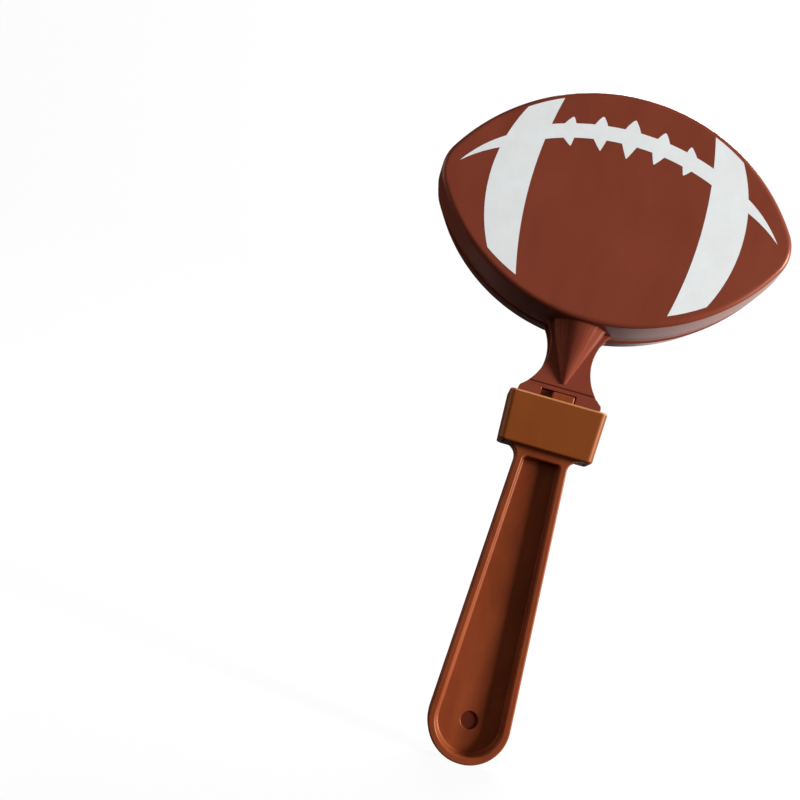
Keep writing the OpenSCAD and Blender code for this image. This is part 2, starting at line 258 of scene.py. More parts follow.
@dataclass(frozen=True)
class StudioPaper(Finish):
    """Seamless white paper that stays white for the camera and in reflections, and still takes a shadow."""

    name: str = "studio paper"
    colour: str = "#F4F4F4"
    fibre: str = "#EFEFEF"
    fibre_mm: float = 3.0
    bounce: str = "#8E8E8E"
    glow: float = 0.94

    def lay(self, tree: NodeTree) -> Node:
        """Lay plain paper for the light that falls on the object, and glowing paper for what is looked at.

        Args:
            tree: tree that takes the nodes.

        Returns:
            The node that makes the surface.
        """
        place = add_node(tree, "TexCoord").outputs["Object"]
        pulp = add_node(tree, "TexNoise", {"Vector": place, "Scale": per_mm(self.fibre_mm), "Detail": 2.0})
        whites = {6: linear(self.fibre), 7: linear(self.colour)}
        tone = add_node(tree, "Mix", {0: pulp, **whites}, data_type="RGBA")
        paper = add_node(tree, "BsdfDiffuse", {"Color": tone.outputs[2]})
        muted = add_node(tree, "BsdfDiffuse", {"Color": linear(self.bounce)})
        glow = add_node(tree, "Emission", {"Strength": 1.0})
        seen = add_node(tree, "MixShader", {0: self.glow, 1: paper, 2: glow})
        return add_node(tree, "MixShader", {0: looked_at(tree), 1: muted, 2: seen})


class Pen:
    """Draws an outline in a new mesh, each stroke on from the end of the last."""

    def __init__(self, x: float, y: float, z: float = 0.0) -> None:
        """Set the pen down.

        Args:
            x: where the outline starts.
            y: where the outline starts.
            z: height that the outline is drawn at.
        """
        self.bm = bmesh.new()
        self.end = self.bm.verts.new((x, y, z))
        self.home = self.end.co.xy

    def lines(self, *points: Sequence[float]) -> BMVert:
        """Draw straight lines.

        Args:
            points: x and y of the end of each line.

        Returns:
            The last line's end.
        """
        for x, y in points:
            self.end = bmesh.ops.extrude_vert_indiv(self.bm, verts=[self.end])["verts"][0]
            self.end.co.x, self.end.co.y = x, y
        return self.end

    def arc(self, centre: Sequence[float], turn: float, steps: int) -> BMVert:
        """Draw an arc.

        Args:
            centre: x and y of the arc's centre.
            turn: angle of the arc in radians, positive to the left.
            steps: number of edges.

        Returns:
            The arc's end.
        """
        swept = bmesh.ops.spin(
            self.bm,
            geom=[self.end],
            cent=(centre[0], centre[1], self.end.co.z),
            axis=(0, 0, 1),
            angle=turn,
            steps=steps,
            use_merge=False,
            use_duplicate=False,
        )
        self.end = next(item for item in swept["geom_last"] if isinstance(item, BMVert))
        return self.end

    def bow(self, point: Sequence[float], rise: float, steps: int) -> BMVert:
        """Draw a shallow arc to a given point.

        Args:
            point: x and y of the arc's end.
            rise: height of the arc over its chord, positive if it bulges to the right of the way it runs.
            steps: number of edges.

        Returns:
            The arc's end.
        """
        start = self.end.co.xy
        chord = Vector((point[0] - start.x, point[1] - start.y))
        radius = (chord.length_squared / 4 + rise * rise) / (2 * abs(rise))
        left = Vector((-chord.y, chord.x)).normalized()
        centre = start + chord / 2 + left * math.copysign(radius - abs(rise), rise)
        self.arc(centre, 4 * math.atan(2 * rise / chord.length), steps)
        self.end.co.x, self.end.co.y = point
        return self.end


def fill(bm: BMesh, up: bool = True) -> BMFace:
    """Close the one open ring of edges in a mesh with a flat face.

    Args:
        bm: mesh with a drawn outline, or with a raised one whose foot is open.
        up: True if the face looks towards +Z.

    Returns:
        The new face.
    """
    ring = [edge for edge in bm.edges if edge.is_wire or edge.is_boundary]
    face = bmesh.ops.contextual_create(bm, geom=ring)["faces"][0]
    face.normal_update()
    if (face.normal.z > 0) != up:
        bmesh.ops.reverse_faces(bm, faces=[face])
        face.normal_update()
    return face


def close_outline(bm: BMesh) -> BMesh:
    """Merge the ends of a drawn outline and fill it, facing +Z.

    Args:
        bm: mesh with the outline.

    Returns:
        The same mesh.
    """
    bmesh.ops.remove_doubles(bm, verts=bm.verts[:], dist=MERGE)
    fill(bm)
    return bm


def raise_face(bm: BMesh, points: Sequence[Step], face: BMFace | None = None) -> BMFace:
    """Raise a flat face through a profile, drawing its outline in on the way.

    Args:
        bm: mesh that holds the face.
        points: the profile, as distances in from the outline and along the face's normal.
        face: the face, if it isn't the mesh's first.

    Returns:
        The face, at the end of the profile.
    """
    cap = face or bm.faces[:][0]
    for a, b in zip(points, points[1:]):
        move = {"thickness": b[0] - a[0], "depth": b[1] - a[1]}
        bmesh.ops.inset_region(bm, faces=[cap], use_even_offset=True, use_boundary=True, **move)
    return cap


def raise_both(bm: BMesh, points: Sequence[Step]) -> list[BMFace]:
    """Raise a filled outline to both of its sides through one profile and give the two end faces."""
    return [raise_face(bm, points), raise_face(bm, points, fill(bm, up=False))]


def round_points(centre: Step, radius: float, start: float, end: float, count: int) -> list[Step]:
    """List points along an arc of a profile, between angles in degrees; 180 is outermost and 90 highest."""
    angles = [math.radians(start + (end - start) * place / count) for place in range(count + 1)]
    return [(centre[0] + radius * math.cos(a), centre[1] + radius * math.sin(a)) for a in angles]


def round_off(bm: BMesh, geom: list[BMVert] | list[BMEdge], size: float, segments: int) -> list[BMFace]:
    """Round off edges of a solid, or corners of an outline.

    Args:
        bm: mesh that holds them.
        geom: the edges, or the corners.
        size: how far the rounding reaches.
        segments: number of strips across it.

    Returns:
        The new faces.
    """
    made = bmesh.ops.bevel(
        bm,
        geom=geom,
        offset=size,
        offset_type="OFFSET",
        affect="VERTICES" if isinstance(geom[0], BMVert) else "EDGES",
        segments=segments,
        profile=0.5,
        material=-1,
    )
    return made["faces"]


def block(low: Sequence[float], high: Sequence[float]) -> BMesh:
    """Make a box.

    Args:
        low: its lower corner.
        high: its upper corner.

    Returns:
        The closed solid.
    """
    bm = bmesh.new()
    size = [b - a for a, b in zip(low, high)]
    middle = [(a + b) / 2 for a, b in zip(low, high)]
    bmesh.ops.create_cube(bm, size=1, matrix=Matrix.Translation(middle) @ Matrix.Diagonal((*size, 1)))
    return bm


def tapered_block(foot: Step, top: Step, heights: Step, corner: float) -> BMesh:
    """Make a box that tapers along Y, with its four upright edges rounded.

    Args:
        foot: width and depth at the foot.
        top: width and depth at the top.
        heights: heights of the foot and the top.
        corner: radius of the upright edges.

    Returns:
        The closed solid.
    """
    low, high = heights
    bm = block((-top[0] / 2, low, -top[1] / 2), (top[0] / 2, high, top[1] / 2))
    feet = [vert for vert in bm.verts if vert.co.y < (low + high) / 2]
    bmesh.ops.scale(bm, verts=feet, vec=(foot[0] / top[0], 1, foot[1] / top[1]))
    upright = [edge for edge in bm.edges if abs(edge.verts[0].co.y - edge.verts[1].co.y) > MERGE]
    round_off(bm, upright, corner, 10)
    return bm


def rod(start: Sequence[float], end: Sequence[float], radii: Step, sides: int) -> BMesh:
    """Make a round rod or cone.

    Args:
        start: middle of the first end.
        end: middle of the second end.
        radii: radius of the first and of the second end.
        sides: number of sides.

    Returns:
        The closed solid.
    """
    bm = bmesh.new()
    along = Vector(end) - Vector(start)
    turn = along.to_track_quat("Z", "Y").to_matrix().to_4x4()
    bmesh.ops.create_cone(
        bm,
        cap_ends=True,
        segments=sides,
        radius1=radii[0],
        radius2=radii[1],
        depth=along.length,
        matrix=Matrix.Translation((Vector(start) + Vector(end)) / 2) @ turn,
    )
    return bm


def prism(bm: BMesh, low: float, high: float) -> BMesh:
    """Turn a mesh's one flat face, drawn at zero, into a prism.

    Args:
        bm: mesh with the face.
        low: height of the prism's foot.
        high: height of its top.

    Returns:
        The same mesh, as a closed solid.
    """
    bmesh.ops.translate(bm, verts=bm.verts[:], vec=(0, 0, low))
    raise_face(bm, [(0, low), (0, high)])
    fill(bm, up=False)
    return bm


def turned(bm: BMesh, turn: float) -> BMesh:
    """Turn a solid about the handle's axis and give it back."""
    bmesh.ops.rotate(bm, verts=bm.verts[:], cent=(0, 0, 0), matrix=Matrix.Rotation(turn, 3, "Y"))
    return bm


def as_object(name: str, bm: BMesh) -> Object:
    """Put a mesh into the scene as an object.

    Args:
        name: name of the object.
        bm: the mesh; it is used up.

    Returns:
        The object.
    """
    mesh = bpy.data.meshes.new(name)
    bm.to_mesh(mesh)
    bm.free()
    made = bpy.data.objects.new(name, mesh)
    bpy.context.scene.collection.objects.link(made)
    return made


def combine(operation: Operation, base: BMesh, *tools: BMesh) -> BMesh:
    """Carry a closed solid through others, one after the other; all are used up.

    Args:
        operation: whether the others are added, cut away or kept in common.
        base: solid that is worked on.
        tools: the others.

    Returns:
        What is left, as a new mesh.
    """
    for tool in tools:
        worked, other = as_object("worked", base), as_object("tool", tool)
        modifier = worked.modifiers.new("combine", "BOOLEAN")
        modifier.operation = operation.value
        modifier.solver = "EXACT"
        modifier.object = other
        bpy.context.view_layer.update()
        base = bmesh.new()
        base.from_object(worked, bpy.context.evaluated_depsgraph_get())
        for used in (worked, other):
            mesh = used.data
            bpy.data.objects.remove(used)
            bpy.data.meshes.remove(mesh)
        bmesh.ops.remove_doubles(base, verts=base.verts[:], dist=MERGE)
        bmesh.ops.dissolve_degenerate(base, edges=base.edges[:], dist=MERGE)
    return base


def has_room(edge: BMEdge) -> bool:
    """Tell whether both faces of an edge are wide enough for it to be broken.

    Args:
        edge: the edge.

    Returns:
        True if the edge is no crumb and neither face is a sliver beside it.
    """
    length = edge.calc_length()
    if length < EDGE_ROOM / 4:
        return False
    for face in edge.link_faces:
        area = face.calc_area()
        wide = area / length if len(face.verts) < MANY_SIDES else 2 * area / face.calc_perimeter()
        if wide < EDGE_ROOM:
            return False
    return len(edge.link_faces) == 2


def mark_edges(bm: BMesh) -> None:
    """Mark the edges of a moulding that are broken.

    Args:
        bm: the moulding in the mould drawing.
    """
    weight = bm.edges.layers.float.new("bevel_weight_edge")
    for edge in bm.edges:
        shown = not all(HIDDEN_LOW < vert.co.y < HIDDEN_HIGH for vert in edge.verts)
        sharp = edge.calc_face_angle(0.0) > SHARP_ANGLE
        edge[weight] = float(sharp and shown and has_room(edge))


def break_edges(piece: Object) -> None:
    """Break the marked edges of a piece and close the corners where they end.

    Args:
        piece: the piece.
    """
    broken = piece.modifiers.new("broken edges", "BEVEL")
    broken.limit_method = "WEIGHT"
    broken.width = BROKEN_EDGE * MM
    broken.segments = 3
    broken.profile = 0.5
    broken.use_clamp_overlap = False
    broken.material = -1
    closed = piece.modifiers.new("closed corners", "WELD")
    closed.merge_threshold = 2 * MERGE * MM


@dataclass(frozen=True)
class Ride:
    """A piece's name and where it belongs: its body, its material slot, which nothing reads, and the CAD node
    it stands for.
    """

    name: str
    body: str
    slot: str
    node: str = ""

    def finish(self, bm: BMesh, finishes: list[Finish], turn: float = 0.0, broken: bool = True) -> Object:
        """Turn a moulding into a smooth object that rides on its body.

        Args:
            bm: the moulding in the mould drawing; it is used up.
            finishes: the finishes, in the order that the faces number them.
            turn: angle about the handle's axis.
            broken: True if its sharp edges are broken.

        Returns:
            The object.
        """
        if broken:
            mark_edges(bm)
        upright = Matrix.Rotation(math.pi / 2, 4, "X")
        place = Matrix.Scale(MM, 4) @ Matrix.Rotation(turn, 4, "Z") @ upright
        bmesh.ops.transform(bm, matrix=place, verts=bm.verts[:])
        for face in bm.faces:
            face.smooth = True
        piece = as_object(self.name, bm)
        for finish in finishes:
            piece.data.materials.append(finish.build())
        if broken:
            break_edges(piece)
        shading = piece.modifiers.new("even shading", "WEIGHTED_NORMAL")
        shading.weight = 60
        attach(piece, self.body)
        if self.node:
            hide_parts(self.node)
        LOG.info("%s: %d faces on %s", self.name, len(piece.data.polygons), self.body)
        return piece


@dataclass(frozen=True)
class Football:
    """Outline of the football: two long arcs that run smoothly into two tip arcs."""

    length: float = 121.6
    height: float = 82.4
    tip_radius: float = 14.7
    centre_y: float = 136.4
    long_steps: int = 96
    tip_steps: int = 16

    @property
    def tip_offset(self) -> float:
        """Distance of a tip arc's centre from the middle."""
        return self.length / 2 - self.tip_radius

    @property
    def long_radius(self) -> float:
        """Radius of the two long arcs."""
        half, tip = self.height / 2, self.tip_radius
        return (self.tip_offset**2 + half**2 - tip**2) / (2 * (half - tip))

    @property
    def long_offset(self) -> float:
        """Distance of a long arc's centre from the middle."""
        return self.long_radius - self.height / 2

    @property
    def foot_y(self) -> float:
        """Height of the outline's lowest point."""
        return self.centre_y - self.height / 2

    def draw(self, inset: float = 0.0, z: float = 0.0, lift: float = 0.0) -> BMesh:
        """Draw the outline as one flat face.

        Args:
            inset: how far the outline is drawn in.
            z: height of the face out of the middle plane.
            lift: how far the outline is moved up the handle.

        Returns:
            A mesh with the face, looking towards +Z.
        """
        middle, tip = self.centre_y + lift, self.tip_radius - inset
        join = math.atan2(self.long_offset, self.tip_offset)
        pen = Pen(self.tip_offset + tip * math.cos(join), middle - tip * math.sin(join), z)
        for side in (1, -1):
            pen.arc((side * self.tip_offset, middle), 2 * join, self.tip_steps)
            pen.arc((0, middle - side * self.long_offset), math.pi - 2 * join, self.long_steps)
        return close_outline(pen.bm)


@dataclass(frozen=True)
class Hinge:
    """Places that the shells, the pegs and the block share."""

    rim_z: float = 4.2
    plate: float = 1.5
    bead_y: float = 67.5
    bead_radius: float = 1.0
    bead_sides: int = 32
    seat_gap: float = 0.08
    tab_width: float = 28.6
    slot_low: Step = (-6.6, 68.9)
    slot_high: Step = (5.4, 73.0)
    peg_low: Step = (-2.6, 69.25)
    peg_high: Step = (5.0, 72.7)
    peg_reach: float = 6.3
    peg_round: float = 0.55

    def bead(self, side: int, gap: float = 0.0) -> BMesh:
        """Make the bead on one side, or with a gap the cutter for its seat.

        Args:
            side: 1 for the front and -1 for the rear.
            gap: how much larger it is all round.

        Returns:
            The closed solid.
        """
        half, z = self.tab_width / 2 + gap, side * (self.rim_z + self.plate / 2)
        radius = self.bead_radius + gap
        return rod((-half, self.bead_y, z), (half, self.bead_y, z), (radius, radius), self.bead_sides)


@dataclass
class ClapperShell:
    """One clapper: a football-shaped dish on a waisted neck with a hollow half cone, a tab and a bead."""

    football: Football
    hinge: Hinge
    depth: float = 12.4
    lean: float = 1.3
    edge_radius: float = 1.8
    wall: float = 1.4
    face: float = 1.5
    face_border: float = 0.4
    rim_round: float = 0.25
    neck_width: float = 15.0
    neck_radius: float = 17.0
    neck_y: float = 85.5
    neck_steps: int = 48
    plate_lift: float = 0.02
    tab_corner: float = 1.1
    cone_y: float = 76.0
    cone_end: float = 0.7
    cone_radius: float = 8.5
    cone_wall: float = 1.6
    cone_lap: float = 2.0
    cone_sides: int = 72
    half_space: Step = (110.0, 20.0)
    hollow_end: float = 1.0
    hollow_lap: float = 4.0
    groove_y: float = 74.2
    groove_width: float = 0.9
    groove_depth: float = 0.6

    @property
    def tilt(self) -> float:
        """Angle that the wall leans in, in radians."""
        return math.atan(self.lean / self.depth)

    @property
    def face_z(self) -> float:
        """Distance of the flat face from the middle plane."""
        return self.hinge.rim_z + self.depth

    @property
    def plate_z(self) -> float:
        """Distance of the plate's outer face from the middle plane."""
        return self.hinge.rim_z + self.hinge.plate

    @property
    def slope(self) -> float:
        """Growth of the cone's radius along the neck."""
        return (self.cone_radius - self.cone_end) / (self.football.foot_y - self.cone_y)

    def edge_centre(self, inset: float, height: float, radius: float) -> Step:
        """Give an edge arc's centre, in and up, from the wall's inset, the flat's height and its radius."""
        inwards = inset + (height - radius) * math.tan(self.tilt) + radius / math.cos(self.tilt)
        return (inwards, self.hinge.rim_z + height - radius)

    def dish(self) -> BMesh:
        """Raise the hollow dish from its outline, with every edge rounded.

        Returns:
            The closed solid.
        """
        rim, small = self.hinge.rim_z, self.rim_round
        lean = 180 - math.degrees(self.tilt)
        start = (small * math.tan(self.tilt), rim + small)
        bm = self.football.draw(inset=start[0], z=start[1])
        top = round_points(self.edge_centre(0, self.depth, self.edge_radius), self.edge_radius, lean, 90, 8)
        wall = (top[0][0] / 2, (start[1] + top[0][1]) / 2)
        raise_face(bm, [start, wall, *top, (top[-1][0] + self.face_border, top[-1][1])])
        inner = self.edge_radius - self.wall / 2
        under = round_points(self.edge_centre(self.wall, self.depth - self.face, inner), inner, lean, 90, 6)
        below = [start, *round_points((small + start[0], rim + small), small, 180, 270, 4)[1:]]
        below += round_points((self.wall - small, rim + small), small, 270, 360, 4)
        below += [*under, (under[-1][0] + self.face_border, under[-1][1])]
        raise_face(bm, [(inwards, -z) for inwards, z in below], fill(bm, up=False))
        return bm

    def core(self) -> BMesh:
        """Make the solid that fills the dish to the middle of its wall.

        Returns:
            The closed solid.
        """
        bm = self.football.draw(inset=self.wall / 2, z=self.hinge.rim_z - PAST)
        raise_face(bm, [(0, 0), (self.lean, self.depth + PAST)])
        fill(bm, up=False)
        return bm

    def plate(self) -> BMesh:
        """Make the flat neck plate, waisted by two arcs above the tab.

        Returns:
            The closed solid.
        """
        half, waist = self.hinge.tab_width / 2, self.neck_width / 2 + self.neck_radius
        sweep = math.acos((waist - half) / self.neck_radius)
        rise, foot = self.neck_radius * math.sin(sweep), self.hinge.bead_y
        pen = Pen(half, foot)
        right = pen.lines((half, self.neck_y - rise))
        pen.arc((waist, self.neck_y), -2 * sweep, self.neck_steps)
        pen.lines((-half, self.neck_y + rise))
        left = pen.arc((-waist, self.neck_y), -2 * sweep, self.neck_steps)
        pen.lines((-half, foot), pen.home)
        bm = close_outline(pen.bm)
        round_off(bm, [right, left], self.tab_corner, 6)
        return prism(bm, self.hinge.rim_z + self.plate_lift, self.plate_z)

    def cone(self, foot_y: float, head_y: float, foot_r: float) -> BMesh:
        """Make a cone up the neck between two heights, with its axis on the plate's outer face."""
        radii = (foot_r, foot_r + self.slope * (head_y - foot_y))
        return rod((0, foot_y, self.plate_z), (0, head_y, self.plate_z), radii, self.cone_sides)

    def neck(self) -> BMesh:
        """Join the plate, the half cone and the bead, and stop them inside the dish's wall.

        Returns:
            The closed solid.
        """
        rim, half = self.hinge.rim_z, self.hinge.tab_width / 2
        cone = self.cone(self.cone_y, self.football.foot_y + self.cone_lap, self.cone_end)
        low = (-half, self.cone_y - PAST, rim + self.hinge.plate / 2)
        upper = block(low, (half, self.half_space[0], rim + self.half_space[1]))
        half_cone = combine(Operation.COMMON, cone, upper)
        solid = combine(Operation.JOIN, self.plate(), half_cone, self.hinge.bead(1))
        return combine(Operation.CUT, solid, self.core())

    def mould(self) -> BMesh:
        """Join dish and neck, and cut the hollow, the slot and the groove.

        Returns:
            The whole moulding.
        """
        hinge, wide, half = self.hinge, self.hinge.tab_width, self.groove_width / 2
        foot_y = self.cone_y + self.cone_wall / self.slope
        hollow = self.cone(foot_y, self.football.foot_y + self.hollow_lap, self.hollow_end)
        slot = block((*hinge.slot_low, hinge.rim_z - PAST), (*hinge.slot_high, self.plate_z + PAST))
        low = (-wide, self.groove_y - half, self.plate_z - self.groove_depth)
        groove = block(low, (wide, self.groove_y + half, self.plate_z + PAST))
        whole = combine(Operation.JOIN, self.dish(), self.neck())
        return combine(Operation.CUT, whole, hollow, slot, groove)

    def dress(self, side: Side, plastic: Finish) -> Object:
        """Make one shell on its clapper body.

        Args:
            side: which of the two.
            plastic: finish of the moulding.

        Returns:
            The object.
        """
        name = side.name.lower()
        ride = Ride(f"{name}_moulding", f"{name}_clapper", "shell_plastic", f"{name}_shell")
        return ride.finish(self.mould(), [plastic], side.value)


@dataclass
class Sleeve:
    """Tapered collar with rounded corners that slides over the block and traps both tabs."""

    foot: Step = (32.1, 16.1)
    top: Step = (33.6, 17.1)
    low: float = 52.4
    high: float = 70.0
    wall: float = 1.6
    corner: float = 2.2
    lip_round: float = 0.7
    lip_angle: float = math.radians(60)

    def mould(self) -> BMesh:
        """Open a tapered block into a tube and round its four lips, the upper two as the second finish.

        Returns:
            The whole moulding.
        """
        bm = tapered_block(self.foot, self.top, (self.low, self.high), self.corner)
        ends = [face for face in bm.faces if abs(face.normal.y) > SQUARE_ON]
        for end in ends:
            raise_face(bm, [(0, 0), (self.wall, 0)], end)
        bmesh.ops.delete(bm, geom=ends, context="FACES_ONLY")
        bmesh.ops.bridge_loops(bm, edges=[edge for edge in bm.edges if edge.is_boundary])
        bmesh.ops.recalc_face_normals(bm, faces=bm.faces[:])
        # The upper lips take the second finish, a paler brown that is a painted highlight along them.
        for finish, height in enumerate((self.low, self.high)):
            lip = [edge for edge in bm.edges if self.is_lip(edge, height)]
            for face in round_off(bm, lip, self.lip_round, 4):
                face.material_index = finish
        return bm

    def is_lip(self, edge: BMEdge, height: float) -> bool:
        """Tell whether an edge runs round the end at a height, on the inside or the outside."""
        level = all(abs(vert.co.y - height) < MERGE for vert in edge.verts)
        return level and edge.calc_face_angle(0.0) > self.lip_angle

    def dress(self, plastic: Finish, painted_lip_highlight: Finish) -> Object:
        """Make the sleeve on the frame, in plastic with a painted highlight, a paler brown, on the upper
        lips.
        """
        ride = Ride("collar_moulding", "frame", "sleeve_plastic", "sleeve")
        return ride.finish(self.mould(), [plastic, painted_lip_highlight], broken=False)


@dataclass
class GripFrame:
    """The frame moulding: grip, block, pegs, stem and football ring in one piece."""

    football: Football
    hinge: Hinge
    sleeve: Sleeve
    end_y: float = -38.9
    end_radius: float = 13.5
    end_steps: int = 64
    side_angle: float = math.radians(3.021)
    thickness: float = 10.2
    grip_round: float = 0.65
    seam_height: float = 0.15
    seam_half: float = 0.2
    shoulder_radius: float = 4.3
    shoulder_x: float = 13.233
    shoulder_y: float = 48.11
    shoulder_steps: int = 16
    root_step: float = 1.04
    root_rise: float = 3.5
    band_sunk: float = 0.1
    band_lead: float = 0.4
    band_proud: float = 0.02
    band_bow: float = 0.29
    band_lap: float = 0.2
    band_half: float = 20.0
    band_steps: int = 8
    flange: float = 2.6
    web: float = 2.2
    recess_top: float = 49.2
    recess_corner: float = 1.2
    recess_clear: float = 0.5
    lip_round: float = 0.75
    floor_round: float = 0.8
    draft: float = 0.2
    dimple_radius: float = 2.9
    dimple_depth: float = 0.7
    dimple_top: float = 3.0
    dimple_sides: int = 48
    block_foot: Step = (28.6, 12.6)
    block_top: Step = (29.89, 13.46)
    block_corner: float = 0.6
    stem_width: float = 13.0
    stem_half: float = 3.87
    stem_flange: float = 2.0
    stem_web: float = 2.4
    stem_fillet: float = 4.0
    fillet_gap: float = 0.01
    fillet_sides: int = 64
    pocket_low: float = 74.5
    ring_half: float = 4.0
    ring_width: float = 3.6
    ring_ridge: float = 0.8
    ring_round: float = 0.45

    def round_end(self, pen: Pen) -> BMesh:
        """Close a drawn outline with the arc of the handle's round end, and fill it."""
        pen.arc((0, self.end_y), math.pi + 2 * self.side_angle, self.end_steps)
        return close_outline(pen.bm)

    def draw_grip(self, inset: float) -> BMesh:
        """Draw the grip's outline: round end, straight sides and hollow shoulders.

        Args:
            inset: how far the outline is drawn in.

        Returns:
            A mesh with one flat face in the middle plane.
        """
        cos, sin = math.cos(self.side_angle), math.sin(self.side_angle)
        radius, shoulder = self.end_radius - inset, self.shoulder_radius + inset
        root, top = self.shoulder_x + self.root_step - inset, self.sleeve.low + self.root_rise
        low, high = self.end_y + radius * sin, self.shoulder_y + shoulder
        x, y, quarter = self.shoulder_x, self.shoulder_y, math.pi / 2 + self.side_angle
        pen = Pen(radius * cos, low)
        pen.lines((x - shoulder * cos, y - shoulder * sin))
        pen.arc((x, y), -quarter, self.shoulder_steps)
        pen.lines((root, high), (root, top), (-root, top), (-root, high), (-x, high))
        pen.arc((-x, y), -quarter, self.shoulder_steps)
        pen.lines((-radius * cos, low))
        return self.round_end(pen)

    def grip(self) -> BMesh:
        """Raise the grip to both sides of the low ridge of its parting seam, with rounded edges.

        Returns:
            The closed solid.
        """
        bm, edge = self.draw_grip(-self.seam_height), self.grip_round
        flank = [(-self.seam_height, 0), (0, self.seam_half)]
        raise_both(bm, [*flank, *round_points((edge, self.thickness / 2 - edge), edge, 180, 90, 7)])
        return bm

    def band(self) -> BMesh:
        """Make the hollow band where the grip's faces sweep out to the block.

        Returns:
            The closed solid.
        """
        low, reach, half = self.sleeve.low, self.block_foot[1] / 2, self.thickness / 2
        hollow = reach - half
        foot, rise = low - hollow, -self.band_bow * hollow
        inner, outer = half - self.band_sunk, half + self.band_proud
        pen = Pen(inner, foot - self.band_lead)
        pen.lines((outer, foot))
        pen.bow((reach, low), rise, self.band_steps)
        pen.lines((reach, low + PAST), (-reach, low + PAST), (-reach, low))
        pen.bow((-outer, foot), rise, self.band_steps)
        pen.lines((-inner, foot - self.band_lead), pen.home)
        side = turned(prism(close_outline(pen.bm), -self.band_half, self.band_half), math.pi / 2)
        grip = prism(self.draw_grip(self.grip_round - self.band_lap), -REACH, REACH)
        return combine(Operation.COMMON, grip, side)

    def recess(self, turn: float) -> BMesh:
        """Make the cutter for one recess, flared to round the flange's edge.

        Args:
            turn: angle about the handle's axis.

        Returns:
            The closed solid.
        """
        lip, small, depth = self.lip_round, self.floor_round, (self.thickness - self.web) / 2
        cos, sin, tan = math.cos(self.side_angle), math.sin(self.side_angle), math.tan(self.side_angle)
        radius, top = self.end_radius - self.flange + lip, self.recess_top + lip
        top_x, low = radius / cos - (top - self.end_y) * tan, self.end_y + radius * sin
        pen = Pen(radius * cos, low)
        corners = [pen.lines((top_x, top)), pen.lines((-top_x, top))]
        pen.lines((-radius * cos, low))
        bm = self.round_end(pen)
        round_off(bm, corners, self.recess_corner + lip, 8)
        inwards, out = lip + self.draft + small, depth - small
        angles = [math.pi / 12 * place for place in range(7)]
        flare = [(lip * math.sin(a), lip * (1 - math.cos(a))) for a in angles]
        floor = [(inwards - small * math.cos(a), out + small * math.sin(a)) for a in angles]
        bmesh.ops.reverse_faces(bm, faces=bm.faces[:])
        raise_face(bm, [(0, -self.recess_clear), *flare, *floor])
        fill(bm)
        bmesh.ops.translate(bm, verts=bm.verts[:], vec=(0, 0, self.thickness / 2 + self.recess_clear))
        return turned(bm, turn)

    def ring(self) -> BMesh:
        """Raise the ring's band to both sides of its ridge.

        Returns:
            The closed solid.
        """
        bm = self.football.draw()
        small, half, wide = self.ring_round, self.ring_half, self.ring_width
        lean = math.atan(self.ring_ridge / half)
        outer = self.ring_ridge - small * math.tan(lean) + small / math.cos(lean)
        points = [(0, 0), *round_points((outer, half - small), small, 180 - math.degrees(lean), 90, 5)]
        points += [*round_points((wide - small, half - small), small, 90, 0, 5), (wide, 0)]
        bmesh.ops.delete(bm, geom=raise_both(bm, points), context="FACES_ONLY")
        bmesh.ops.remove_doubles(bm, verts=bm.verts[:], dist=MERGE)
        return bm

    def stem(self) -> BMesh:
        """Join the stem's bar and the fillets that carry it into the ring, and cut its pockets.

        Returns:
            The closed solid.
        """
        half, foot, fillet = self.stem_width / 2, self.football.foot_y, self.stem_fillet
        lap, deep, reach = self.ring_width / 2, self.ring_half - self.ring_ridge, half + fillet
        bar = block((-half, self.hinge.bead_y - PAST, -self.stem_half), (half, foot + lap, self.stem_half))
        level = math.sqrt(self.football.long_radius**2 - reach**2) - self.football.long_offset
        y = self.football.centre_y - level - fillet
        for side in (-1, 1):
            x = side * reach
            near, far = sorted((side * (half - PAST), side * (reach - self.fillet_gap)))
            corner = block((near, y, -deep), (far, y + fillet + lap, deep))
            hollow = rod((x, y, -REACH), (x, y, REACH), (fillet, fillet), self.fillet_sides)
            bar = combine(Operation.JOIN, bar, combine(Operation.CUT, corner, hollow))
        pocket, web = half - self.stem_flange, self.stem_web / 2
        spans = ((web, REACH), (-REACH, -web))
        pockets = [block((-pocket, self.pocket_low, a), (pocket, foot - PAST, b)) for a, b in spans]
        return combine(Operation.CUT, bar, *pockets)

    def peg(self, turn: float) -> BMesh:
        """Make one peg with a rounded head.

        Args:
            turn: angle about the handle's axis.

        Returns:
            The closed solid.
        """
        hinge, root = self.hinge, self.stem_half / 2
        bm = block((*hinge.peg_low, root), (*hinge.peg_high, hinge.peg_reach))
        head = [edge for edge in bm.edges if max(vert.co.z for vert in edge.verts) > root + PAST]
        round_off(bm, head, hinge.peg_round, 5)
        return turned(bm, turn)

    def mould(self) -> BMesh:
        """Join the frame's parts, cut the recesses, dimples and seats, and number the dimples' floors, which
        take a darker brown as painted shade.

        Returns:
            The whole moulding.
        """
        hinge, mark = self.hinge, (self.dimple_radius, self.dimple_radius)
        heights, floor = (self.sleeve.low, hinge.bead_y), self.web / 2 - self.dimple_depth
        inner = tapered_block(self.block_foot, self.block_top, heights, self.block_corner)
        pegs = [self.peg(side.value) for side in Side]
        cutters = [self.recess(side.value) for side in Side]
        for way in (-1, 1):
            cutters.append(hinge.bead(way, hinge.seat_gap))
            low, high = ((0, self.end_y, way * height) for height in (floor, self.dimple_top))
            cutters.append(rod(low, high, mark, self.dimple_sides))
        whole = combine(Operation.JOIN, self.grip(), self.band(), inner, self.stem(), self.ring(), *pegs)
        whole = combine(Operation.CUT, whole, *cutters)
        whole.normal_update()
        # The dimples' floors take the second finish, whose darker brown is painted shade, as if the dimples
        # were deeper.
        for face in whole.faces:
            face.material_index = int(self.is_dimple_floor(face))
        return whole

